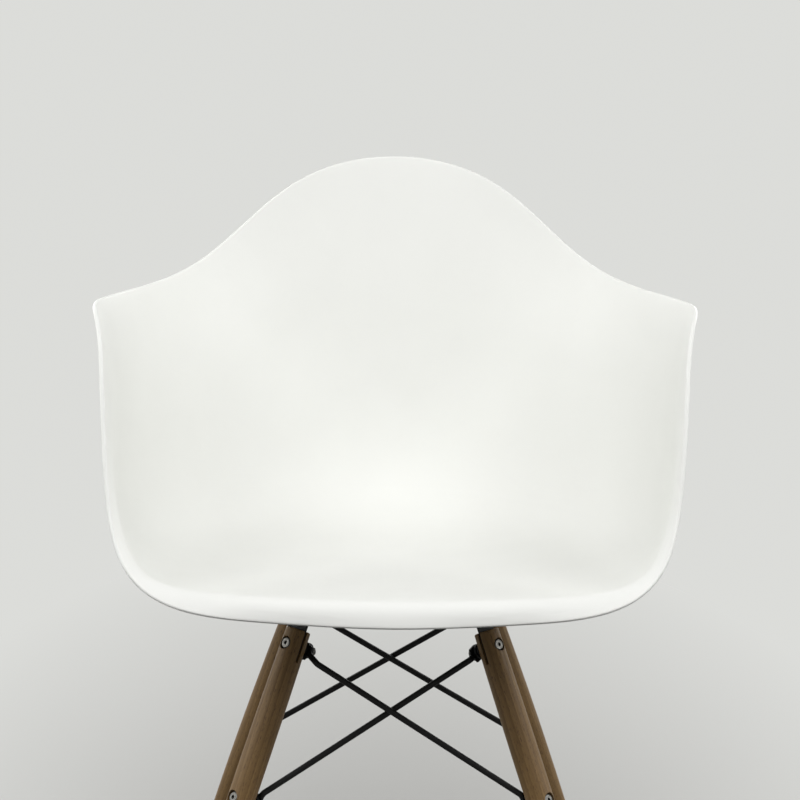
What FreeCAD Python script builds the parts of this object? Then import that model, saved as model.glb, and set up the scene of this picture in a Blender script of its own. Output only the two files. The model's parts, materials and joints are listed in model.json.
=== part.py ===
import FreeCAD, Part
import math
import os
from FreeCAD import Vector

os.makedirs("parts", exist_ok=True)

# Shell: one moulded skin, drawn as half-sections fanned around the seat centre
SHELL_THICKNESS = 4.8
SEAT_Z = 413.0
COLUMNS = 96
SECTION_STEPS = 24
RIM_REACH = 0.62
CENTRE_R = 12.0

# Each half-section: azimuth from the front centre line, then its control points
# as (distance out, height): seat middle, seat-to-wall corner, wall, neck, rim
SECTIONS = [
    (0, (150, 411), (252, 434), (272, 444), (287, 437), (292, 420)),
    (25, (160, 411), (266, 435), (293, 445), (309, 440), (313.5, 424)),
    (40, (168, 411), (280, 430), (308, 444), (325, 444), (336, 431)),
    (52, (176, 411), (285, 419), (312, 445), (327, 460), (339, 457)),
    (60, (180, 410), (285, 414), (312, 458), (319, 494), (331.5, 506)),
    (68, (182, 410), (284, 413), (311, 483), (311, 560), (320, 602)),
    (76, (182, 410), (281, 414), (306, 500), (300, 628), (312.5, 671)),
    (84, (182, 410), (279, 414), (302, 505), (296, 650), (314.5, 695)),
    (95, (182, 410), (277, 416), (301, 510), (296, 652), (311.5, 697)),
    (110, (178, 411), (271, 420), (299, 520), (301, 645), (312, 694)),
    (125, (170, 411), (258, 422), (294, 530), (307, 650), (314, 698)),
    (140, (164, 411), (243, 424), (285, 530), (308, 673), (314.5, 726)),
    (155, (158, 411), (233, 426), (272, 535), (300, 728), (310, 788)),
    (168, (152, 411), (227, 426), (262, 540), (292, 761), (305, 820)),
    (180, (150, 411), (225, 426), (258, 540), (288, 769), (302, 828)),
]

# Mount blocks bonded under the shell, one above each end of the cross bars
MOUNT_R = 94.0
BLOCK_R = 14.0
BLOCK_BASE_Z = 397.5
BLOCK_GAP = 0.15
FIN_REACH = 12.0
FIN_T = 2.6
INSERT_R = 4.9
INSERT_LENGTH = 8.2

# Legs: turned spindles leaning out along the diagonals
LEG_UPPER_R = 138.7
LEG_UPPER_Z = 349.1
LEG_LOWER_Z = 195.5
LEG_SLOPE = 0.455
LEG_TOP_BEYOND = 17.3
LEG_FOOT_Z = 5.0
LEG_STATIONS = [
    (0, 10.4),
    (60, 11.9),
    (140, 13.6),
    (225, 14.6),
    (305, 14.4),
    (360, 13.8),
]
LEG_TOP_RADIUS = 13.2
LEG_TOP_ROUND = 1.6
KERF_WIDTH = 3.5
KERF_DEPTH = 34.0
LEG_NAMES = ["front_right", "rear_right", "rear_left", "front_left"]
LEG_SPREAD = 41.6
LEG_ANGLES = [-LEG_SPREAD, LEG_SPREAD, 180 - LEG_SPREAD, 180 + LEG_SPREAD]

# Foot glides
GLIDE_R = 9.6
GLIDE_PIN_R = 2.2
GLIDE_PIN_LENGTH = 14.0

# Leg bolts
BOLT_R = 3.0
BOLT_HOLE_R = 3.3
BOLT_SEAT = 8.2
BOLT_HEAD_R = 6.2
BOLT_HEAD_H = 3.6
BORE_R = 7.2
FLAT_DEPTH = 12.6
FLAT_R = 11.0
COLLAR_R = 6.8
COLLAR_T = 2.6
WASHER_R = 6.6
WASHER_T = 1.2
NUT_FLATS = 10.0
NUT_T = 5.0
FIT = 0.3

# Brace rods
ROD_R = 3.25
PADDLE_T = 3.0
PADDLE_R = 8.2
PLATE_LENGTH = 8.0
NECK_LENGTH = 4.6
NECK_STEP = 0.1
NECK_OVERLAP = 0.5
ROD_BEND_R = 5.0
OUTER_BEND_AT = 28.0
INNER_BEND_AT = 15.2
LOW_BEND_AT = 15.2

# Cross bars on top of the legs
BAR_T = 3.0
BAR_W = 22.0
BAR_Z = 385.0
BAR_BEND_R = 9.0
RIVET_R = 4.0

# Screws, washers and shock mounts between bars and shell
SPACER_R = 12.5
SPACER_HOLE_R = 3.4
SCREW_R = 3.0
SCREW_HEAD_R = 6.0
SCREW_HEAD_H = 3.8
SCREW_WASHER_R = 9.0
SCREW_TOP_Z = 405.3

TOP_STACK_GAP = 0.2


def polar(radius, angle, height):
    a = math.radians(angle)
    return Vector(radius * math.cos(a), radius * math.sin(a), height)


def outward(angle):
    return polar(1.0, angle, 0.0)


# Shell skin


def section_controls():
    """Control pairs of every column, blended smoothly around the seat centre."""
    ring = SECTIONS + [(360 - s[0],) + s[1:] for s in reversed(SECTIONS[1:-1])]
    keys = [(s[0] - 360,) + s[1:] for s in ring[-4:]] + ring
    keys += [(s[0] + 360,) + s[1:] for s in ring[:5]]
    azimuths = [float(k[0]) for k in keys]
    curves = []
    for row in range(1, 6):
        points = [Vector(k[row][0], k[row][1], k[0]) for k in keys]
        curve = Part.BSplineCurve()
        curve.interpolate(Points=points, Parameters=azimuths)
        curves.append(curve)
    columns = []
    for i in range(COLUMNS):
        azimuth = 360.0 * i / COLUMNS
        columns.append([curve.value(azimuth) for curve in curves])
    return columns


def seat_face_points():
    """Points of the sitting surface: one column per azimuth, centre to rim."""
    grid = []
    for i, controls in enumerate(section_controls()):
        azimuth = math.radians(360.0 * i / COLUMNS)
        poles = [Vector(0, SEAT_Z, 0)] + controls
        section = Part.BSplineCurve()
        section.buildFromPolesMultsKnots(poles, [4, 1, 1, 4], [0, 1, 2, 3], False, 3)
        column = []
        for j in range(SECTION_STEPS + 1):
            p = section.value(3.0 * j / SECTION_STEPS)
            if j == 0:
                p = Vector(CENTRE_R, SEAT_Z, 0)
            x = p.x * math.sin(azimuth)
            y = -p.x * math.cos(azimuth)
            column.append(Vector(x, y, p.y))
        grid.append(column)
    return grid


def skin_net(grid):
    """Sitting side, rounded rim and underside as one closed control net."""
    net = []
    last = SECTION_STEPS
    for i in range(COLUMNS):
        before = grid[i - 1]
        after = grid[(i + 1) % COLUMNS]
        here = grid[i]
        under = []
        for j in range(last + 1):
            if j == 0:
                normal = Vector(0, 0, 1)
            else:
                along = here[min(j + 1, last)] - here[j - 1]
                around = after[j] - before[j]
                normal = around.cross(along) * -1.0
                normal.normalize()
            under.append(here[j] - normal * SHELL_THICKNESS)
        edge = here[last] - here[last - 1]
        edge.normalize()
        step = here[last] - under[last]
        middle = here[last] - step * 0.5
        rim = [
            here[last] + edge * (0.35 * SHELL_THICKNESS),
            middle + edge * (RIM_REACH * SHELL_THICKNESS),
            under[last] + edge * (0.35 * SHELL_THICKNESS),
        ]
        net.append(here + rim + under[::-1])
    return net


def skin_solid():
    net = skin_net(seat_face_points())
    around = COLUMNS
    across = len(net[0])
    surface = Part.BSplineSurface()
    surface.buildFromPolesMultsKnots(
        net,
        [1] * (around + 1),
        [4] + [1] * (across - 4) + [4],
        [float(k) for k in range(around + 1)],
        [float(k) for k in range(across - 2)],
        True,
        False,
        3,
        3,
    )
    skin = surface.toShape()
    faces = [skin]
    for edge in skin.Edges:
        if edge.isClosed():
            faces.append(Part.Face(Part.Wire([edge])))
    shell = Part.makeShell(faces)
    shell.sewShape()
    solid = Part.makeSolid(shell)
    if solid.Volume < 0:
        solid.reverse()
    return solid


def mount_block(angle, skin):
    """Round block with four fins, its top shaped to the underside of the seat."""
    foot = polar(MOUNT_R, angle, BLOCK_BASE_Z)
    height = SEAT_Z - BLOCK_BASE_Z - 3.2
    body = Part.makeCone(BLOCK_R - 0.6, BLOCK_R, height, foot)
    for k in range(4):
        direction = angle + 45.0 + 90.0 * k
        low = foot + Vector(0, 0, 2.5)
        high = foot + Vector(0, 0, height)
        reach = outward(direction)
        start = reach * (BLOCK_R - 2.0)
        end = reach * (BLOCK_R + FIN_REACH)
        corners = [low + start, high + end, high + start, low + start]
        fin = Part.Face(Part.makePolygon(corners))
        side = outward(direction + 90.0) * FIN_T
        fin.translate(side * -0.5)
        body = body.fuse(fin.extrude(side))
    hole = Part.makeCylinder(INSERT_R + 0.15, INSERT_LENGTH + 0.4, foot)
    return body.cut(hole).cut(skin)


# Leg geometry


class LegFrame:
    """Axis, outward bolt direction and sideways direction of one leg."""

    def __init__(self, angle):
        self.angle = angle
        radial = outward(angle)
        self.axis = Vector(-LEG_SLOPE * radial.x, -LEG_SLOPE * radial.y, 1.0)
        self.axis.normalize()
        self.out = radial - self.axis * radial.dot(self.axis)
        self.out.normalize()
        self.side = self.axis.cross(self.out)
        self.upper = polar(LEG_UPPER_R, angle, LEG_UPPER_Z)
        drop = LEG_UPPER_Z - LEG_LOWER_Z
        self.lower = polar(LEG_UPPER_R + LEG_SLOPE * drop, angle, LEG_LOWER_Z)
        foot_drop = LEG_UPPER_Z - LEG_FOOT_Z
        self.foot = polar(LEG_UPPER_R + LEG_SLOPE * foot_drop, angle, LEG_FOOT_Z)
        self.top = self.upper + self.axis * LEG_TOP_BEYOND
        self.length = (self.top - self.foot).Length

    def place(self, shape):
        """Moves a shape drawn with local x out, y sideways and z up the leg."""
        m = FreeCAD.Matrix()
        m.A11, m.A12, m.A13 = self.out.x, self.side.x, self.axis.x
        m.A21, m.A22, m.A23 = self.out.y, self.side.y, self.axis.y
        m.A31, m.A32, m.A33 = self.out.z, self.side.z, self.axis.z
        m.A14, m.A24, m.A34 = self.foot.x, self.foot.y, self.foot.z
        moved = shape.copy()
        moved.Placement = FreeCAD.Placement(m)
        return moved


FRAMES = [LegFrame(angle) for angle in LEG_ANGLES]
LEG_LENGTH = FRAMES[0].length
UPPER_S = LEG_LENGTH - LEG_TOP_BEYOND
LOWER_S = UPPER_S - (FRAMES[0].upper - FRAMES[0].lower).Length


def leg_blank():
    """Spindle outline turned about its axis, run on past the foot for trimming."""
    stations = [(-14.0, 9.9)] + LEG_STATIONS
    points = [Vector(r, 0, s) for s, r in stations]
    points.append(Vector(LEG_TOP_RADIUS, 0, LEG_LENGTH - LEG_TOP_ROUND))
    outline = Part.BSplineCurve()
    outline.interpolate(points)
    shoulder = Vector(LEG_TOP_RADIUS - LEG_TOP_ROUND, 0, LEG_LENGTH)
    quarter = LEG_TOP_ROUND * math.sqrt(0.5)
    centre = Vector(shoulder.x, 0, LEG_LENGTH - LEG_TOP_ROUND)
    middle = centre + Vector(quarter, 0, quarter)
    rounding = Part.Arc(points[-1], middle, shoulder)
    edges = [
        Part.makeLine(Vector(0, 0, -14.0), points[0]),
        outline.toShape(),
        rounding.toShape(),
        Part.makeLine(shoulder, Vector(0, 0, LEG_LENGTH)),
        Part.makeLine(Vector(0, 0, LEG_LENGTH), Vector(0, 0, -14.0)),
    ]
    return Part.Face(Part.Wire(edges)).revolve(Vector(0, 0, 0), Vector(0, 0, 1), 360)


def leg_drilled():
    """Blank with kerf, bolt holes, head counterbores and flats for the rods."""
    solid = leg_blank()
    kerf_base = Vector(-KERF_WIDTH / 2, -20, LEG_LENGTH - KERF_DEPTH)
    solid = solid.cut(Part.makeBox(KERF_WIDTH, 40, KERF_DEPTH + 5, kerf_base))
    for s in (UPPER_S, LOWER_S):
        hole = Part.makeCylinder(BOLT_HOLE_R, 60, Vector(-30, 0, s), Vector(1, 0, 0))
        bore = Part.makeCylinder(BORE_R, 20, Vector(BOLT_SEAT, 0, s), Vector(1, 0, 0))
        flat = Part.makeCylinder(FLAT_R, 20, Vector(-FLAT_DEPTH, 0, s), Vector(-1, 0, 0))
        solid = solid.cut(hole).cut(bore).cut(flat)
    pin_hole = Part.makeCylinder(GLIDE_PIN_R + 0.15, GLIDE_PIN_LENGTH + 15.5, Vector(0, 0, -15))
    return solid.cut(pin_hole)


def build_legs():
    blank = leg_drilled()
    floor_slab = Part.makeBox(900, 900, 60, Vector(-450, -450, LEG_FOOT_Z - 60))
    for frame, name in zip(FRAMES, LEG_NAMES):
        save(frame.place(blank).cut(floor_slab), "leg_" + name)


def build_glides():
    for frame, name in zip(FRAMES, LEG_NAMES):
        centre = Vector(frame.foot.x, frame.foot.y, 0)
        pad = Part.makeCylinder(GLIDE_R, LEG_FOOT_Z - 0.05, centre)
        low_edge = [e for e in pad.Edges if e.BoundBox.ZMax < 0.01]
        pad = pad.makeFillet(1.4, low_edge)
        pin = Part.makeCylinder(GLIDE_PIN_R, GLIDE_PIN_LENGTH, frame.foot - frame.axis * 2.0, frame.axis)
        save(pad.fuse(pin), "glide_" + name)


# Leg bolts, washers and nuts


def stack_depth(place_in_stack):
    """Middle of a rod paddle, measured in from the leg axis."""
    first = FLAT_DEPTH + COLLAR_T + FIT + PADDLE_T / 2
    return first + place_in_stack * (PADDLE_T + 2.4 * FIT)


def nut_face():
    return stack_depth(1) + PADDLE_T / 2 + 0.1


def button_bolt(s):
    reach = BOLT_SEAT + nut_face() + WASHER_T + NUT_T + 2.5
    shank = Part.makeCylinder(BOLT_R, reach, Vector(BOLT_SEAT - reach + 0.1, 0, s), Vector(1, 0, 0))
    head = Part.makeCylinder(BOLT_HEAD_R, BOLT_HEAD_H, Vector(BOLT_SEAT + 0.1, 0, s), Vector(1, 0, 0))
    crown = [e for e in head.Edges if e.BoundBox.XMin > BOLT_SEAT + BOLT_HEAD_H]
    head = head.makeFillet(1.6, crown)
    flats = regular_prism(4.0, 2.2, Vector(BOLT_SEAT + BOLT_HEAD_H - 2.0, 0, s))
    return head.fuse(shank).cut(flats)


def regular_prism(across_flats, length, base):
    """Hexagonal prism running outward along the leg's local x."""
    radius = across_flats / math.sqrt(3.0)
    corners = []
    for k in range(7):
        a = math.radians(60.0 * k)
        corners.append(base + Vector(0, radius * math.cos(a), radius * math.sin(a)))
    return Part.Face(Part.makePolygon(corners)).extrude(Vector(length, 0, 0))


def hex_nut(s):
    base = Vector(-nut_face() - WASHER_T - NUT_T - 0.1, 0, s)
    body = regular_prism(NUT_FLATS, NUT_T, base)
    cone = Part.makeCone(NUT_FLATS * 0.5, NUT_FLATS * 0.5 + NUT_T * 1.4, NUT_T * 1.4, base, Vector(1, 0, 0))
    bore = Part.makeCylinder(BOLT_R + 0.1, NUT_T + 2, base - Vector(1, 0, 0), Vector(1, 0, 0))
    return body.common(cone).cut(bore)


def flat_washer(s):
    base = Vector(-nut_face() - WASHER_T, 0, s)
    ring = Part.makeCylinder(WASHER_R, WASHER_T, base, Vector(1, 0, 0))
    return ring.cut(Part.makeCylinder(BOLT_HOLE_R, 5, base - Vector(1, 0, 0), Vector(1, 0, 0)))


def collar(s):
    """Spacer ring that holds the first rod end clear of the leg."""
    base = Vector(-FLAT_DEPTH - FIT / 2 - COLLAR_T, 0, s)
    ring = Part.makeCylinder(COLLAR_R, COLLAR_T, base, Vector(1, 0, 0))
    return ring.cut(Part.makeCylinder(BOLT_HOLE_R, 8, base - Vector(1, 0, 0), Vector(1, 0, 0)))


def build_leg_fixings():
    for level, s in (("upper", UPPER_S), ("lower", LOWER_S)):
        save_group([f.place(button_bolt(s)) for f in FRAMES], "leg_bolts_" + level)
        save_group([f.place(collar(s)) for f in FRAMES], "brace_collars_" + level)
        save_group([f.place(flat_washer(s)) for f in FRAMES], "leg_washers_" + level)
        save_group([f.place(hex_nut(s)) for f in FRAMES], "leg_nuts_" + level)


# Brace rods


def arc_corner(before, corner, after, radius):
    """Tangent points and middle point of the bend at a corner."""
    a = (before - corner).normalize()
    b = (after - corner).normalize()
    half = math.acos(max(-1.0, min(1.0, a.dot(b)))) / 2
    reach = radius / math.tan(half)
    bisector = (a + b).normalize()
    centre = corner + bisector * (radius / math.sin(half))
    return corner + a * reach, centre - bisector * radius, corner + b * reach


def flattened_end(hole_centre, normal, along):
    """Pressed paddle with its bolt hole, and the neck that turns round."""
    side = normal.cross(along)
    up = normal * (PADDLE_T / 2)
    p = [
        hole_centre + side * PADDLE_R - up,
        hole_centre - along * PADDLE_R - up,
        hole_centre - side * PADDLE_R - up,
        hole_centre - side * PADDLE_R + along * PLATE_LENGTH - up,
        hole_centre + side * PADDLE_R + along * PLATE_LENGTH - up,
    ]
    outline = [
        Part.Arc(p[0], p[1], p[2]).toShape(),
        Part.makeLine(p[2], p[3]),
        Part.makeLine(p[3], p[4]),
        Part.makeLine(p[4], p[0]),
    ]
    plate = Part.Face(Part.Wire(outline)).extrude(normal * PADDLE_T)
    wires = []
    for share, wide, thick in (
        (0.0, PADDLE_R - 0.3, PADDLE_T / 2 - 0.2),
        (0.3, PADDLE_R * 0.86, PADDLE_T / 2),
        (0.7, PADDLE_R * 0.5, ROD_R * 0.84),
        (1.0, ROD_R + NECK_STEP, ROD_R + NECK_STEP),
        (1.12, ROD_R + NECK_STEP, ROD_R + NECK_STEP),
    ):
        centre = hole_centre + along * (PLATE_LENGTH - NECK_OVERLAP + NECK_LENGTH * share)
        wires.append(flat_ring(centre, side, normal, wide, thick))
    neck = Part.makeLoft(wires, True)
    hole = Part.makeCylinder(BOLT_HOLE_R, 12, hole_centre - normal * 6, normal)
    return plate.fuse(neck).cut(hole)


def flat_ring(centre, side, normal, wide, thick):
    """Closed smooth ring, wide by thick, for the neck of a rod."""
    points = []
    for k in range(16):
        a = 2 * math.pi * k / 16
        points.append(centre + side * (wide * math.cos(a)) + normal * (thick * math.sin(a)))
    ring = Part.BSplineCurve()
    ring.interpolate(Points=points, PeriodicFlag=True)
    return Part.Wire([ring.toShape()])


def brace_rod(high_frame, low_frame, place_in_stack, high_bend, low_bend):
    """One rod from the upper bolt of a leg to the lower bolt of its neighbour."""
    depth = stack_depth(place_in_stack)
    start = high_frame.upper - high_frame.out * depth
    end = low_frame.lower - low_frame.out * depth
    course = (end - start).normalize()
    first = course - high_frame.out * course.dot(high_frame.out)
    first.normalize()
    last = (course - low_frame.out * course.dot(low_frame.out)) * -1.0
    last.normalize()
    corner_a = start + first * high_bend
    corner_b = end + last * low_bend
    a0, a1, a2 = arc_corner(start, corner_a, corner_b, ROD_BEND_R)
    b0, b1, b2 = arc_corner(corner_a, corner_b, end, ROD_BEND_R)
    reach = PLATE_LENGTH - NECK_OVERLAP + NECK_LENGTH * 1.05
    tip_a = start + first * reach
    tip_b = end + last * reach
    pieces = [straight_round(tip_a, a0), bend_round(a0, a1, a2)]
    pieces += [straight_round(a2, b0), bend_round(b0, b1, b2), straight_round(b2, tip_b)]
    rod = pieces[0].multiFuse(pieces[1:])
    rod = rod.fuse(flattened_end(start, high_frame.out, first))
    rod = rod.fuse(flattened_end(end, low_frame.out, last))
    return rod


def straight_round(a, b):
    return Part.makeCylinder(ROD_R, (b - a).Length, a, b - a)


def bend_round(a, middle, b):
    arc = Part.Arc(a, middle, b)
    tangent = arc.tangent(arc.FirstParameter)[0]
    ring = Part.Wire([Part.makeCircle(ROD_R, a, tangent)])
    return Part.Wire([arc.toShape()]).makePipeShell([ring], True, True)


def build_rods():
    sides = ["right", "rear", "left", "front"]
    for k, side in enumerate(sides):
        here = FRAMES[k]
        ahead = FRAMES[(k + 1) % 4]
        outer = brace_rod(here, ahead, 0, OUTER_BEND_AT, LOW_BEND_AT)
        inner = brace_rod(ahead, here, 1, INNER_BEND_AT, LOW_BEND_AT)
        save(outer, "brace_rod_" + side + "_outer")
        save(inner, "brace_rod_" + side + "_inner")


# Cross bars


def cross_bar(angle, height):
    """Flat bar with both ends bent down into the leg kerfs."""
    frame = LegFrame(angle)
    lift = (height - frame.upper.z) / frame.axis.z
    knee = frame.upper + frame.axis * lift
    tip = frame.top - frame.axis * (KERF_DEPTH - 2.0)
    radial = outward(angle)

    def flat(p):
        return Vector(p.dot(radial), 0, p.z)

    middle = Vector(0, 0, height)
    a0, a1, a2 = arc_corner(flat(tip), flat(knee), middle, BAR_BEND_R)
    half = [
        Part.makeLine(flat(tip), a0),
        Part.Arc(a0, a1, a2).toShape(),
        Part.makeLine(a2, Vector(-a2.x, 0, a2.z)),
    ]
    m0, m1, m2 = [Vector(-p.x, 0, p.z) for p in (a0, a1, a2)]
    half += [
        Part.Arc(m2, m1, m0).toShape(),
        Part.makeLine(m0, Vector(-flat(tip).x, 0, flat(tip).z)),
    ]
    spine = Part.Wire(half)
    tangent = (flat(knee) - flat(tip)).normalize()
    across = Vector(0, 1, 0)
    thick = tangent.cross(across).normalize()
    c = flat(tip)
    corners = [
        c + across * (BAR_W / 2) + thick * (BAR_T / 2),
        c - across * (BAR_W / 2) + thick * (BAR_T / 2),
        c - across * (BAR_W / 2) - thick * (BAR_T / 2),
        c + across * (BAR_W / 2) - thick * (BAR_T / 2),
    ]
    profile = Part.makePolygon(corners + [corners[0]])
    bar = spine.makePipeShell([profile], True, False)
    bar.rotate(Vector(0, 0, 0), Vector(0, 0, 1), angle)
    holes = [Part.makeCylinder(RIVET_R + 0.1, 20, Vector(0, 0, height - 10))]
    for turn in (0.0, 180.0):
        foot = polar(MOUNT_R, angle + turn, height - 10)
        holes.append(Part.makeCylinder(BOLT_HOLE_R, 20, foot))
        other = LegFrame(angle + turn)
        holes.append(Part.makeCylinder(BOLT_HOLE_R, 20, other.upper - other.out * 10, other.out))
    for hole in holes:
        bar = bar.cut(hole)
    return bar


def bar_height(angle):
    """The bar from front right to rear left lies on top of the other one."""
    on_top = abs((angle % 180.0) - (180.0 - LEG_SPREAD)) < 1.0
    return BAR_Z if on_top else BAR_Z - BAR_T - TOP_STACK_GAP


def build_bars():
    save(cross_bar(-LEG_SPREAD, bar_height(-LEG_SPREAD)), "cross_bar_upper")
    save(cross_bar(LEG_SPREAD, bar_height(LEG_SPREAD)), "cross_bar_lower")
    low = bar_height(LEG_SPREAD) - BAR_T / 2
    high = BAR_Z + BAR_T / 2
    shank = Part.makeCylinder(RIVET_R, high - low + 0.2, Vector(0, 0, low - 0.1))
    for z, way in ((high + 0.1, 1), (low - 0.1, -1)):
        head = Part.makeCylinder(RIVET_R * 1.8, 2.2, Vector(0, 0, z), Vector(0, 0, way))
        rim = [e for e in head.Edges if abs(e.BoundBox.ZMin - z) > 2.0]
        shank = shank.fuse(head.makeFillet(1.6, rim))
    save(shank, "cross_rivet")


# Shell mounts


def foot_is_right(angle):
    return math.cos(math.radians(angle)) > 0


def build_mounts(shell):
    skin = shell.copy()
    skin.translate(Vector(0, 0, -BLOCK_GAP))
    inserts, screws, washers = [], [], []
    for angle, name in zip(LEG_ANGLES, LEG_NAMES):
        if foot_is_right(angle):
            block = mount_block(180.0 - angle, skin)
            block = block.mirror(Vector(0, 0, 0), Vector(1, 0, 0))
        else:
            block = mount_block(angle, skin)
        save(block, "mount_block_" + name)
        foot = polar(MOUNT_R, angle, 0)
        up = Vector(0, 0, 1)
        top = bar_height(angle) + BAR_T / 2 + TOP_STACK_GAP
        height = BLOCK_BASE_Z - TOP_STACK_GAP - top
        spacer = Part.makeCylinder(SPACER_R, height, foot + up * top)
        spacer = spacer.makeFillet(1.2, spacer.Edges[0:1] + spacer.Edges[2:3])
        groove = Part.makeTorus(SPACER_R + 0.6, 2.0, foot + up * (top + height / 2))
        hole = Part.makeCylinder(SPACER_HOLE_R, 40, foot + up * (top - 10))
        save(spacer.cut(groove).cut(hole), "shock_mount_" + name)

        insert = Part.makeCylinder(INSERT_R, INSERT_LENGTH, foot + up * (BLOCK_BASE_Z + 0.2))
        insert = insert.cut(Part.makeCylinder(SCREW_R + 0.1, 40, foot + up * (BLOCK_BASE_Z - 10)))
        inserts.append(insert)

        low = bar_height(angle) - BAR_T / 2 - TOP_STACK_GAP
        ring = Part.makeCylinder(SCREW_WASHER_R, WASHER_T, foot + up * (low - WASHER_T))
        ring = ring.cut(Part.makeCylinder(BOLT_HOLE_R, 20, foot + up * (low - 10)))
        washers.append(ring)

        seat = low - WASHER_T - 0.1
        shank = Part.makeCylinder(SCREW_R, SCREW_TOP_Z - seat, foot + up * seat)
        head = Part.makeCylinder(SCREW_HEAD_R, SCREW_HEAD_H, foot + up * (seat - SCREW_HEAD_H))
        edge = [e for e in head.Edges if e.BoundBox.ZMax < seat - SCREW_HEAD_H + 0.1]
        head = head.makeFillet(1.2, edge)
        screw = head.fuse(shank)
        recess = Part.makeCylinder(2.4, 2.4, foot + up * (seat - SCREW_HEAD_H - 0.1))
        screws.append(screw.cut(recess))
    save_group(inserts, "shell_inserts")
    save_group(screws, "shell_screws")
    save_group(washers, "shell_screw_washers")


# Output


def save(shape, name):
    if len(shape.Solids) != 1 or not shape.isValid():
        raise RuntimeError(name + " is not one sound solid")
    placed = shape.Solids[0].copy()
    placed.translate(Vector(0, ORIGIN_SHIFT, 0))
    placed.exportStep("parts/" + name + ".step")


def save_group(shapes, name):
    solids = []
    for shape in shapes:
        solids += shape.Solids
    group = Part.makeCompound(solids)
    group.translate(Vector(0, ORIGIN_SHIFT, 0))
    group.exportStep("parts/" + name + ".step")


SHELL = skin_solid()
SHELL_BOX = SHELL.BoundBox
ORIGIN_SHIFT = -(SHELL_BOX.YMin + SHELL_BOX.YMax) / 2

save(SHELL, "seat_shell")
build_legs()
build_glides()
build_leg_fixings()
build_rods()
build_bars()
build_mounts(SHELL)
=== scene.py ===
import json
import math

import bpy
from bpy.props import FloatProperty, FloatVectorProperty, IntProperty, PointerProperty
from bpy.types import Operator, Panel, PropertyGroup
from mathutils import Matrix, Vector

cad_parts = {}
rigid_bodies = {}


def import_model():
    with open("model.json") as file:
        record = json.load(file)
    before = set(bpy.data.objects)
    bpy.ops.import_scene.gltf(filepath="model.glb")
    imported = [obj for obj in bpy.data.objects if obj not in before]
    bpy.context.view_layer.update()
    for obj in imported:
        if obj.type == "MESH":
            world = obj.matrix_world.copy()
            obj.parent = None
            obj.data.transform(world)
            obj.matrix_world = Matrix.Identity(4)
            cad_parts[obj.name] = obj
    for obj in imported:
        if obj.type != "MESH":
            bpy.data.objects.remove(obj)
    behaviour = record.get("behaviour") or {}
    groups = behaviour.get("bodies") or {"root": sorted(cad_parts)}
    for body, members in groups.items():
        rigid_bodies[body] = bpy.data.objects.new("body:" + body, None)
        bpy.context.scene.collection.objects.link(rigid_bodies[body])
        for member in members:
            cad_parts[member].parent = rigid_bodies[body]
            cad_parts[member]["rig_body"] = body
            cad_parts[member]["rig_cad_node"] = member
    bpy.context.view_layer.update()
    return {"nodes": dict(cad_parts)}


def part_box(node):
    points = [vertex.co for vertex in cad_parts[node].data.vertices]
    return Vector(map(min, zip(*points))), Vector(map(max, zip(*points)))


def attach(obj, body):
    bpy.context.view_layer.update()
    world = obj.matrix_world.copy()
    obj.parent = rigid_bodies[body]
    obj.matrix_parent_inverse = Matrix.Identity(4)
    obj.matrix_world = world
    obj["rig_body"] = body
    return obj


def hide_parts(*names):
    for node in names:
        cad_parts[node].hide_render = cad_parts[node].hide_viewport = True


bl_info = {
    "name": "Shell armchair on dowel legs",
    "version": (1, 0, 0),
    "blender": (4, 5, 0),
    "location": "3D View > Sidebar > Armchair",
    "description": "Finishes, studio and camera for a moulded shell armchair",
    "category": "Object",
}

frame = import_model()
NODES = frame["nodes"]

LEGS = ("front_left", "front_right", "rear_left", "rear_right")
ZINC_PARTS = ("leg_bolts", "leg_nuts", "leg_washers", "shell_screw")
LEG_RADIUS = 0.012
FACET_GAP = 0.00002
SENSOR_WIDTH = 36.0
# The ring pattern turns through this many radians a metre at a scale of 1
WAVE_RATE = 20.0


def colour_property(name, description, default):
    return FloatVectorProperty(
        name=name, description=description, default=default, subtype="COLOR", min=0.0, max=1.0
    )


def share_property(name, description, default):
    return FloatProperty(
        name=name, description=description, default=default, min=0.0, max=1.0, subtype="FACTOR"
    )


def length_property(name, description, default):
    return FloatProperty(name=name, description=description, default=default, unit="LENGTH")


def angle_property(name, description, degrees):
    return FloatProperty(
        name=name, description=description, default=math.radians(degrees), unit="ROTATION"
    )


def power_property(name, description, default):
    return FloatProperty(name=name, description=description + ", in watts", default=default)


# Sizes and colours a user would change


class ShellFinish(PropertyGroup):
    colour: colour_property("Colour", "Through-dyed colour of the shell", (0.87, 0.875, 0.845))
    shade: colour_property("Shade", "Slightly greyer patches in the moulding", (0.84, 0.845, 0.815))
    smooth: share_property("Smooth areas", "Roughness where the mould was polished", 0.47)
    worn: share_property("Worn areas", "Roughness where the surface is rubbed", 0.6)
    grain_size: length_property("Mould grain", "Width of one pit of the mould texture", 0.0007)
    grain_depth: length_property("Grain depth", "Depth of the mould texture", 0.00003)


class WoodFinish(PropertyGroup):
    light: colour_property("Light wood", "Colour between the growth rings", (0.265, 0.163, 0.066))
    dark: colour_property("Dark wood", "Colour of the late growth", (0.13, 0.074, 0.026))
    pore: colour_property("Pores", "Colour of the open pores", (0.075, 0.04, 0.02))
    ring_gap: length_property("Ring gap", "Distance between growth rings", 0.0066)
    pore_length: length_property("Pore length", "Length of one pore", 0.006)


class MetalFinish(PropertyGroup):
    black: colour_property("Powder coat", "Colour of the rods and bars", (0.004, 0.004, 0.004))
    zinc: colour_property("Zinc", "Colour of bolts, nuts and washers", (0.12, 0.117, 0.108))
    brass: colour_property("Brass", "Colour of the threaded inserts", (0.72, 0.52, 0.23))
    peel_size: length_property("Orange peel", "Width of one ripple of the powder coat", 0.0011)


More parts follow.
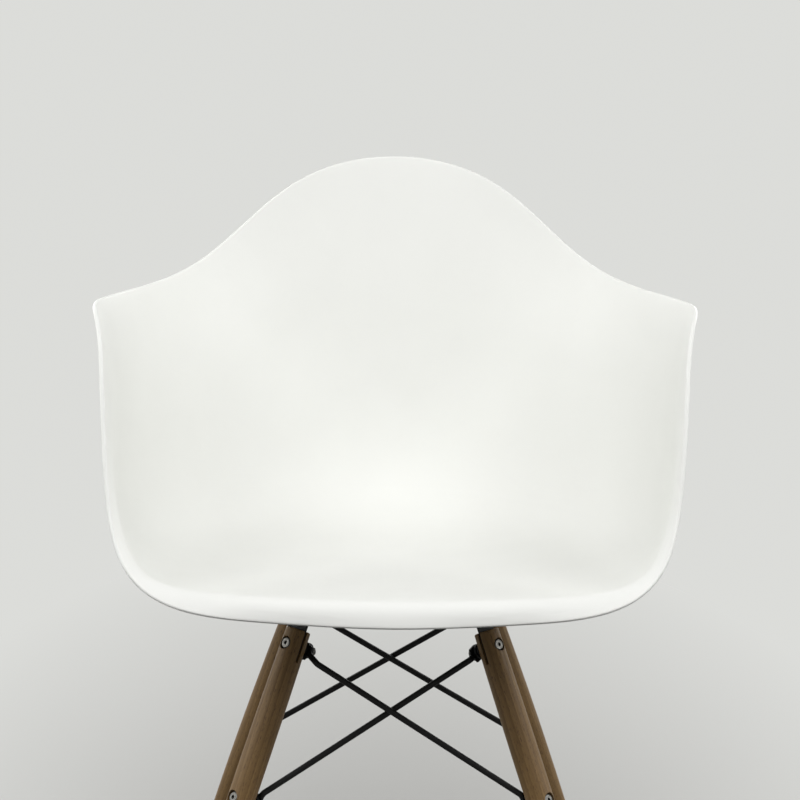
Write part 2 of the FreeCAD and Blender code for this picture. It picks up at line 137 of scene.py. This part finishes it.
class SmallPartFinish(PropertyGroup):
    rubber: colour_property("Rubber", "Colour of the shock mounts", (0.022, 0.021, 0.02))
    glide: colour_property("Glide", "Colour of the foot glides", (0.03, 0.03, 0.032))
    block: colour_property("Block", "Colour of the blocks under the seat", (0.78, 0.785, 0.755))


class Studio(PropertyGroup):
    paper: colour_property("Paper", "Colour of the sweep under the chair", (0.33, 0.326, 0.315))
    glow: colour_property("Backdrop glow", "Paleness far from the chair", (0.715, 0.72, 0.697))
    bounce: share_property("Floor bounce", "Share of the paper's colour that lights the chair", 0.4)
    # Half widths of a painted shadow: the floor is drawn darker around the chair's middle
    painted_shadow_core: length_property("Darker floor", "Half width of the darkest floor", 0.15)
    painted_shadow_edge: length_property("Pale floor", "Half width at which the floor is as pale as the wall", 0.75)
    width: length_property("Sweep width", "Width of the paper", 60.0)
    depth: length_property("Sweep depth", "Depth of the paper on the floor", 60.0)
    height: length_property("Sweep height", "Height of the paper behind the chair", 14.0)
    bend: length_property("Sweep bend", "Radius of the paper's curve", 7.0)
    bend_steps: IntProperty(
        name="Bend steps", description="Strips in the curve", default=32, min=4, max=64
    )
    camera_distance: length_property("Camera distance", "From the chair's middle", 3.0)
    camera_height: length_property("Camera height", "Above the floor", 1.1015)
    camera_aside: length_property("Camera aside", "To the right of the middle", 0.006)
    camera_back: length_property("Camera back", "Added to the distance", 0.00725)
    camera_pitch: angle_property("Camera pitch", "Looking down", 9.579)
    camera_roll: angle_property("Camera roll", "Turned about its own line of sight", 0.559)
    camera_yaw: angle_property("Camera yaw", "Turned about the chair", 0.28)
    lens: FloatProperty(name="Lens", description="Focal length in millimetres", default=128.5)
    front_watts: power_property("Front lamp", "Softbox before the chair", 16.0)
    high_watts: power_property("High front lamp", "Softbox above the camera", 36.0)
    top_watts: power_property("Overhead lamp", "Softbox over the chair", 8.0)
    corner_watts: power_property("Front corner lamps", "Each softbox at the front corners", 44.0)
    side_watts: power_property("Side lamps", "Each softbox at the sides", 28.0)
    rear_watts: power_property("Rear corner lamps", "Each softbox at the rear corners", 55.0)
    room_light: FloatProperty(name="Room light", description="Strength of the room", default=0.02)


# Shader building


class Shading:
    """A new material with a bare surface shader, and short ways to add nodes to it."""

    def __init__(self, name):
        self.material = bpy.data.materials.new(name)
        self.material.use_nodes = True
        self.nodes = self.material.node_tree.nodes
        self.nodes.clear()
        self.output = self.nodes.new("ShaderNodeOutputMaterial")
        self.surface = self.add("ShaderNodeBsdfPrincipled")
        self.join(self.surface, "BSDF", self.output, "Surface")
        self.place = self.add("ShaderNodeTexCoord").outputs["Object"]

    def add(self, kind, **values):
        node = self.nodes.new(kind)
        for key, value in values.items():
            if hasattr(node, key):
                setattr(node, key, value)
            else:
                node.inputs[key.replace("_", " ").title()].default_value = value
        return node

    def join(self, source, out_name, target, in_name):
        self.link(source.outputs[out_name], target.inputs[in_name])

    def link(self, out_socket, in_socket):
        self.material.node_tree.links.new(out_socket, in_socket)

    def noise(self, size, detail=2.0, roughness=0.5, place=None):
        """Noise whose blotches are about size metres wide."""
        node = self.add("ShaderNodeTexNoise", scale=1.0 / size, detail=detail, roughness=roughness)
        self.link(place or self.place, node.inputs["Vector"])
        return node.outputs["Fac"]

    def spread(self, value, low, high, start=0.3, end=0.7):
        node = self.add("ShaderNodeMapRange")
        node.inputs["From Min"].default_value = start
        node.inputs["From Max"].default_value = end
        node.inputs["To Min"].default_value = low
        node.inputs["To Max"].default_value = high
        self.link(value, node.inputs["Value"])
        return node.outputs["Result"]

    def ramp(self, value, *stops):
        node = self.nodes.new("ShaderNodeValToRGB")
        elements = node.color_ramp.elements
        while len(elements) < len(stops):
            elements.new(0.5)
        for element, (position, colour) in zip(elements, stops):
            element.position = position
            element.color = tuple(colour) + (1.0,)
        self.link(value, node.inputs["Fac"])
        return node.outputs["Color"]

    def blend(self, share, first, second):
        node = self.nodes.new("ShaderNodeMix")
        node.data_type = "RGBA"
        sockets = (node.inputs[0], node.inputs[6], node.inputs[7])
        for socket, value in zip(sockets, (share, first, second)):
            if isinstance(value, bpy.types.NodeSocket):
                self.link(value, socket)
            elif isinstance(value, float):
                socket.default_value = value
            else:
                socket.default_value = tuple(value) + (1.0,)
        return node.outputs[2]

    def bump(self, height, depth, under=None):
        node = self.nodes.new("ShaderNodeBump")
        node.inputs["Strength"].default_value = 1.0
        node.inputs["Distance"].default_value = depth
        self.link(height, node.inputs["Height"])
        if under is not None:
            self.link(under, node.inputs["Normal"])
        return node.outputs["Normal"]

    def finish(self, colour=None, roughness=None, normal=None, **fixed):
        for value, name in ((colour, "Base Color"), (roughness, "Roughness"), (normal, "Normal")):
            if value is not None:
                self.link(value, self.surface.inputs[name])
        for key, value in fixed.items():
            self.surface.inputs[key.replace("_", " ")].default_value = value
        return self.material


def moulded_plastic(name, colour, shade, smooth, worn, grain_size, grain_depth):
    """Dyed plastic as it leaves a fine-textured steel mould."""
    s = Shading(name)
    patches = s.noise(0.16, 3.0)
    flow = s.noise(0.035, 4.0, 0.6)
    tint = s.blend(s.spread(patches, 0.0, 1.0), colour, shade)
    haze = s.spread(flow, smooth, worn)
    pits = s.noise(grain_size, 3.0, 0.6)
    fine = s.bump(pits, grain_depth)
    waves = s.bump(s.noise(0.09, 1.0), 0.0004, fine)
    return s.finish(tint, haze, waves, Specular_IOR_Level=0.32)


def turned_wood(name, finish, foot, axis):
    """Straight-grained brown hardwood with its grain along one leg, under a satin lacquer."""
    s = Shading(name)
    turn = Vector((0, 0, 1)).rotation_difference(axis).to_euler()
    along = s.add("ShaderNodeMapping", vector_type="TEXTURE")
    along.inputs["Location"].default_value = foot
    along.inputs["Rotation"].default_value = turn
    s.link(s.place, along.inputs["Vector"])
    leg_place = along.outputs["Vector"]

    def stretched(length_ratio, offset):
        node = s.add("ShaderNodeMapping")
        node.inputs["Location"].default_value = offset
        node.inputs["Scale"].default_value = (1.0, 1.0, length_ratio)
        s.link(leg_place, node.inputs["Vector"])
        return node.outputs["Vector"]

    rings = s.add(
        "ShaderNodeTexWave",
        wave_type="RINGS",
        rings_direction="Z",
        wave_profile="SAW",
        scale=math.tau / WAVE_RATE / finish.ring_gap,
        distortion=2.6,
        detail=3.0,
    )
    rings.inputs["Detail Scale"].default_value = 1.4
    s.link(stretched(0.12, (0.055, 0.02, 0.0)), rings.inputs["Vector"])
    growth = rings.outputs["Fac"]
    streaks = s.noise(0.0022, 4.0, 0.65, stretched(0.03, (0.0, 0.0, 0.4)))
    clouds = s.noise(0.05, 2.0, 0.5, stretched(0.25, (0.3, 0.1, 0.0)))
    pores = s.noise(0.0006, 2.0, 0.5, stretched(0.0006 / finish.pore_length, (0.1, 0.0, 0.0)))

    middle = [(a + b) / 2 for a, b in zip(finish.light, finish.dark)]
    tone = s.ramp(growth, (0.0, finish.light), (0.55, middle), (1.0, finish.dark))
    tone = s.blend(s.spread(streaks, 0.0, 0.75), tone, finish.dark)
    tone = s.blend(s.spread(clouds, 0.0, 0.45), tone, finish.light)
    open_pore = s.spread(pores, 0.0, 1.0, 0.6, 0.68)
    tone = s.blend(open_pore, tone, finish.pore)
    gloss = s.spread(streaks, 0.46, 0.62)
    fibre = s.bump(streaks, 0.00006)
    pitted = s.bump(s.spread(open_pore, 1.0, 0.0, 0.0, 1.0), 0.00005, fibre)
    return s.finish(tone, gloss, pitted, Specular_IOR_Level=0.28)


def powder_coat(name, colour, peel_size):
    """Baked black coating on steel, faintly rippled, with duller rubbed spots."""
    s = Shading(name)
    ripple = s.noise(peel_size, 2.0)
    rub = s.noise(0.012, 4.0, 0.7)
    tint = s.blend(s.spread(rub, 0.0, 0.5), colour, [c * 1.9 + 0.006 for c in colour])
    gloss = s.spread(rub, 0.46, 0.62)
    coat = s.bump(ripple, 0.00004)
    fine = s.bump(s.noise(peel_size / 5, 2.0), 0.000008, coat)
    return s.finish(tint, gloss, fine, Specular_IOR_Level=0.16)


def plated_metal(name, colour, tarnish, smooth, rough):
    """Plated or brushed metal with faint clouding and fine machining marks."""
    s = Shading(name)
    clouds = s.noise(0.004, 3.0, 0.6)
    tint = s.blend(s.spread(clouds, 0.0, 0.8), colour, tarnish)
    marks = s.noise(0.0003, 2.0)
    gloss = s.spread(s.noise(0.0025, 3.0), smooth, rough)
    return s.finish(tint, gloss, s.bump(marks, 0.000012), Metallic=1.0)


def dark_rubber(name, colour):
    """Moulded rubber with a dusty bloom."""
    s = Shading(name)
    bloom = s.noise(0.006, 4.0, 0.7)
    tint = s.blend(s.spread(bloom, 0.0, 0.6), colour, [c * 2.2 + 0.01 for c in colour])
    return s.finish(tint, s.spread(bloom, 0.62, 0.85), s.bump(s.noise(0.0005, 2.0), 0.00003))


def dress(names, material):
    """Gives each named CAD part the material."""
    for name in names:
        for place in NODES[name].material_slots:
            place.material = material


def start_clean():
    if bpy.context.object and bpy.context.object.mode != "OBJECT":
        bpy.ops.object.mode_set(mode="OBJECT")
    bpy.ops.object.select_all(action="DESELECT")


# Operators, one for each group of pieces


class CHAIR_OT_shell(Operator):
    """Moulded seat shell, its facets merged and smoothed, in satin white plastic"""

    bl_idname = "chair.shell"
    bl_label = "Seat shell"

    def execute(self, context):
        look = context.scene.chair_shell
        start_clean()
        source = NODES["seat_shell"]
        source.select_set(True)
        context.view_layer.objects.active = source
        bpy.ops.object.duplicate()
        shell = context.object
        shell.name = "seat_shell_moulding"
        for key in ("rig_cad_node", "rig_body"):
            del shell[key]
        bpy.ops.object.mode_set(mode="EDIT")
        bpy.ops.mesh.select_all(action="SELECT")
        bpy.ops.mesh.remove_doubles(threshold=FACET_GAP)
        bpy.ops.mesh.customdata_custom_splitnormals_clear()
        bpy.ops.object.mode_set(mode="OBJECT")
        bpy.ops.object.shade_smooth()
        shell.data.materials.clear()
        shell.data.materials.append(
            moulded_plastic(
                "white_moulded_plastic",
                look.colour,
                look.shade,
                look.smooth,
                look.worn,
                look.grain_size,
                look.grain_depth,
            )
        )
        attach(shell, "root")
        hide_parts("seat_shell")
        return {"FINISHED"}


class CHAIR_OT_legs(Operator):
    """Four turned legs in brown lacquered hardwood, the grain of each along its own axis"""

    bl_idname = "chair.legs"
    bl_label = "Wooden legs"

    def execute(self, context):
        look = context.scene.chair_wood
        for name in LEGS:
            low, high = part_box("leg_" + name)
            side = 1.0 if "right" in name else -1.0
            back = 1.0 if "rear" in name else -1.0
            outer_x = high[0] if side > 0 else low[0]
            inner_x = low[0] if side > 0 else high[0]
            outer_y = high[1] if back > 0 else low[1]
            inner_y = low[1] if back > 0 else high[1]
            foot = Vector((outer_x - side * LEG_RADIUS, outer_y - back * LEG_RADIUS, low[2]))
            top = Vector((inner_x + side * LEG_RADIUS, inner_y + back * LEG_RADIUS, high[2]))
            wood = turned_wood("leg_wood_" + name, look, foot, (top - foot).normalized())
            dress(["leg_" + name], wood)
        return {"FINISHED"}


class CHAIR_OT_steelwork(Operator):
    """Crossed rods, cross bars, rivet and spacer rings in black powder coat"""

    bl_idname = "chair.steelwork"
    bl_label = "Steel braces"

    def execute(self, context):
        look = context.scene.chair_metal
        black = powder_coat("black_powder_coat", look.black, look.peel_size)
        names = [n for n in NODES if n.startswith(("brace_", "cross_"))]
        dress(names, black)
        return {"FINISHED"}


class CHAIR_OT_fixings(Operator):
    """Zinc-plated bolts, nuts, washers and screws, and the brass inserts"""

    bl_idname = "chair.fixings"
    bl_label = "Bolts and nuts"

    def execute(self, context):
        look = context.scene.chair_metal
        dull = [c * 0.72 for c in look.zinc]
        zinc = plated_metal("zinc_plate", look.zinc, dull, 0.36, 0.52)
        dress([n for n in NODES if n.startswith(ZINC_PARTS)], zinc)
        aged = [c * 0.6 for c in look.brass]
        dress(["shell_inserts"], plated_metal("turned_brass", look.brass, aged, 0.24, 0.4))
        return {"FINISHED"}


class CHAIR_OT_mounts(Operator):
    """Rubber shock mounts and the blocks under the seat"""

    bl_idname = "chair.mounts"
    bl_label = "Seat mounts"

    def execute(self, context):
        look = context.scene.chair_small
        shell = context.scene.chair_shell
        rubber = dark_rubber("mount_rubber", look.rubber)
        dress([n for n in NODES if n.startswith("shock_mount")], rubber)
        shade = [c * 0.94 for c in look.block]
        grain = shell.grain_size * 0.7
        block = moulded_plastic(
            "block_plastic", look.block, shade, 0.42, 0.55, grain, shell.grain_depth
        )
        dress([n for n in NODES if n.startswith("mount_block")], block)
        return {"FINISHED"}


class CHAIR_OT_glides(Operator):
    """Foot glides in scuffed dark nylon"""

    bl_idname = "chair.glides"
    bl_label = "Foot glides"

    def execute(self, context):
        look = context.scene.chair_small
        scuffed = [c * 2.0 + 0.01 for c in look.glide]
        nylon = moulded_plastic("glide_nylon", look.glide, scuffed, 0.38, 0.62, 0.0005, 0.00003)
        dress([n for n in NODES if n.startswith("glide")], nylon)
        return {"FINISHED"}


class CHAIR_OT_stage(Operator):
    """Paper sweep, soft lamps and the camera at the photograph's angle"""

    bl_idname = "chair.stage"
    bl_label = "Studio"

    def execute(self, context):
        look = context.scene.chair_studio
        self.lay_paper(context, look)
        self.hang_lamps(context, look)
        self.set_camera(context, look)
        context.scene.view_settings.view_transform = "Standard"
        return {"FINISHED"}

    def lay_paper(self, context, look):
        start_clean()
        bpy.ops.mesh.primitive_plane_add(size=1.0, location=(0, 0, 0))
        paper = context.object
        paper.name = "paper_sweep"
        bpy.ops.object.mode_set(mode="EDIT")
        bpy.ops.transform.resize(value=(look.width, look.depth, 1.0))
        bpy.ops.mesh.select_mode(type="EDGE")
        self.pick_edges(paper, lambda p: p.y > look.depth * 0.49)
        bpy.ops.mesh.extrude_region_move(TRANSFORM_OT_translate={"value": (0, 0, look.height)})
        self.pick_edges(paper, lambda p: p.y > look.depth * 0.49 and abs(p.z) < 0.01)
        bpy.ops.mesh.bevel(
            offset=look.bend, offset_type="OFFSET", segments=look.bend_steps, affect="EDGES"
        )
        bpy.ops.mesh.select_all(action="SELECT")
        bpy.ops.mesh.normals_make_consistent(inside=False)
        bpy.ops.object.mode_set(mode="OBJECT")
        bpy.ops.object.shade_smooth()
        paper.data.materials.append(self.paper_surface(look))

    def pick_edges(self, paper, wanted):
        bpy.ops.mesh.select_all(action="DESELECT")
        bpy.ops.object.mode_set(mode="OBJECT")
        points = [v.co for v in paper.data.vertices]
        for edge in paper.data.edges:
            edge.select = all(wanted(points[i]) for i in edge.vertices)
        bpy.ops.object.mode_set(mode="EDIT")

    def paper_surface(self, look):
        """Matt paper, seen pale far from the chair, with a painted shadow that darkens it near the
        chair's middle on top of the real shadow it takes.
        """
        s = Shading("studio_paper")
        fibre = s.noise(0.004, 3.0)
        tint = s.blend(s.spread(fibre, 0.0, 0.5), look.paper, [c * 0.985 for c in look.paper])
        s.link(tint, s.surface.inputs["Base Color"])
        s.surface.inputs["Roughness"].default_value = 0.85
        s.link(s.bump(fibre, 0.0002), s.surface.inputs["Normal"])
        glow = s.add("ShaderNodeEmission", strength=1.0)
        glow.inputs["Color"].default_value = tuple(look.glow) + (1.0,)
        # Painted shadow: near the chair's middle the paper glows less, in an ellipse stretched front to
        # back, so it reads darker there under any lamps
        painted_shadow_stretch = s.add("ShaderNodeMapping")
        painted_shadow_stretch.inputs["Scale"].default_value = (1.0, 0.35, 1.0)
        s.link(s.place, painted_shadow_stretch.inputs["Vector"])
        reach = s.add("ShaderNodeVectorMath", operation="LENGTH")
        s.link(painted_shadow_stretch.outputs["Vector"], reach.inputs[0])
        glow_with_painted_shadow = s.nodes.new("ShaderNodeMixShader")
        glow_past_painted_shadow = s.spread(reach.outputs["Value"], 0.3, 1.0, look.painted_shadow_core, look.painted_shadow_edge)
        s.link(glow_past_painted_shadow, glow_with_painted_shadow.inputs["Fac"])
        s.join(s.surface, "BSDF", glow_with_painted_shadow, "Shader")
        s.link(glow.outputs["Emission"], glow_with_painted_shadow.inputs[2])
        dim = s.add("ShaderNodeBsdfDiffuse")
        dim.inputs["Color"].default_value = tuple(c * look.bounce for c in look.paper) + (1.0,)
        choice = s.nodes.new("ShaderNodeMixShader")
        s.link(self.seen_directly(s.nodes, s.material.node_tree.links), choice.inputs["Fac"])
        s.link(dim.outputs["BSDF"], choice.inputs[1])
        s.link(glow_with_painted_shadow.outputs["Shader"], choice.inputs[2])
        s.join(choice, "Shader", s.output, "Surface")
        return s.material

    def hang_lamps(self, context, look):
        middle, low_middle = (0.0, 0.0, 0.6), (0.0, 0.0, 0.5)
        lamps = (
            ("front_softbox", (0.0, -3.4, 2.3), middle, 2.4, 1.2, look.front_watts),
            ("high_softbox", (0.0, -1.9, 3.3), middle, 2.4, 1.4, look.high_watts),
            ("overhead_softbox", (0.0, 0.3, 3.0), low_middle, 2.2, 2.2, look.top_watts),
            ("left_corner_softbox", (-2.4, -2.0, 3.0), low_middle, 1.4, 1.4, look.corner_watts),
            ("right_corner_softbox", (2.4, -2.0, 3.0), low_middle, 1.4, 1.4, look.corner_watts),
            ("left_softbox", (-2.8, -0.2, 1.3), middle, 1.2, 1.2, look.side_watts),
            ("right_softbox", (2.8, -0.2, 1.3), middle, 1.2, 1.2, look.side_watts),
            ("left_rear_softbox", (-1.9, 3.2, 1.5), low_middle, 1.6, 1.4, look.rear_watts),
            ("right_rear_softbox", (1.9, 3.2, 1.5), low_middle, 1.6, 1.4, look.rear_watts),
        )
        for name, place, aim, wide, high, watts in lamps:
            bpy.ops.object.light_add(type="AREA", location=place)
            lamp = context.object
            lamp.name = name
            lamp.data.shape = "RECTANGLE"
            lamp.data.size = wide
            lamp.data.size_y = high
            lamp.data.energy = watts
            toward = Vector(aim) - Vector(place)
            lamp.rotation_euler = toward.to_track_quat("-Z", "Y").to_euler()
        context.scene.world = self.room(look)

    def room(self, look):
        """A dim room whose walls look as pale as the paper."""
        world = bpy.data.worlds.new("studio_room")
        world.use_nodes = True
        nodes, links = world.node_tree.nodes, world.node_tree.links
        dim = nodes["Background"]
        dim.inputs["Strength"].default_value = look.room_light
        pale = nodes.new("ShaderNodeBackground")
        pale.inputs["Color"].default_value = tuple(look.glow) + (1.0,)
        choice = nodes.new("ShaderNodeMixShader")
        links.new(self.seen_directly(nodes, links), choice.inputs["Fac"])
        links.new(dim.outputs["Background"], choice.inputs[1])
        links.new(pale.outputs["Background"], choice.inputs[2])
        links.new(choice.outputs["Shader"], nodes["World Output"].inputs["Surface"])
        return world

    def seen_directly(self, nodes, links):
        """1 for rays from the camera, a reflection or through glass, otherwise 0."""
        path = nodes.new("ShaderNodeLightPath")
        share = path.outputs["Is Camera Ray"]
        for ray in ("Is Glossy Ray", "Is Transmission Ray"):
            either = nodes.new("ShaderNodeMath")
            either.operation = "MAXIMUM"
            links.new(share, either.inputs[0])
            links.new(path.outputs[ray], either.inputs[1])
            share = either.outputs["Value"]
        return share

    def set_camera(self, context, look):
        turn = Matrix.Rotation(-look.camera_yaw, 4, "Z")
        place = turn @ Vector((look.camera_aside, -look.camera_distance, look.camera_height))
        place.y -= look.camera_back
        tilt = Matrix.Rotation(math.pi / 2 - look.camera_pitch, 4, "X")
        roll = Matrix.Rotation(look.camera_roll, 4, "Z")
        bpy.ops.object.camera_add(location=place, rotation=(turn @ tilt @ roll).to_euler())
        camera = context.object
        camera.name = "photograph_camera"
        camera.data.lens = look.lens
        camera.data.sensor_width = SENSOR_WIDTH
        context.scene.camera = camera


STEPS = (
    CHAIR_OT_shell,
    CHAIR_OT_legs,
    CHAIR_OT_steelwork,
    CHAIR_OT_fixings,
    CHAIR_OT_mounts,
    CHAIR_OT_glides,
    CHAIR_OT_stage,
)
SETTINGS = (
    ("chair_shell", ShellFinish),
    ("chair_wood", WoodFinish),
    ("chair_metal", MetalFinish),
    ("chair_small", SmallPartFinish),
    ("chair_studio", Studio),
)


class CHAIR_PT_panel(Panel):
    bl_idname = "CHAIR_PT_panel"
    bl_label = "Shell armchair"
    bl_space_type = "VIEW_3D"
    bl_region_type = "UI"
    bl_category = "Armchair"

    def draw(self, context):
        layout = self.layout
        for step in STEPS:
            layout.operator(step.bl_idname)
        for name, group in SETTINGS:
            box = layout.box()
            for key in group.__annotations__:
                box.prop(getattr(context.scene, name), key)


def register():
    for name, group in SETTINGS:
        bpy.utils.register_class(group)
        setattr(bpy.types.Scene, name, PointerProperty(type=group))
    for step in STEPS:
        bpy.utils.register_class(step)
    bpy.utils.register_class(CHAIR_PT_panel)


def unregister():
    bpy.utils.unregister_class(CHAIR_PT_panel)
    for step in reversed(STEPS):
        bpy.utils.unregister_class(step)
    for name, group in reversed(SETTINGS):
        delattr(bpy.types.Scene, name)
        bpy.utils.unregister_class(group)


def main():
    register()
    for step in STEPS:
        getattr(bpy.ops.chair, step.bl_idname.split(".")[1])()


if __name__ == "__main__":
    main()
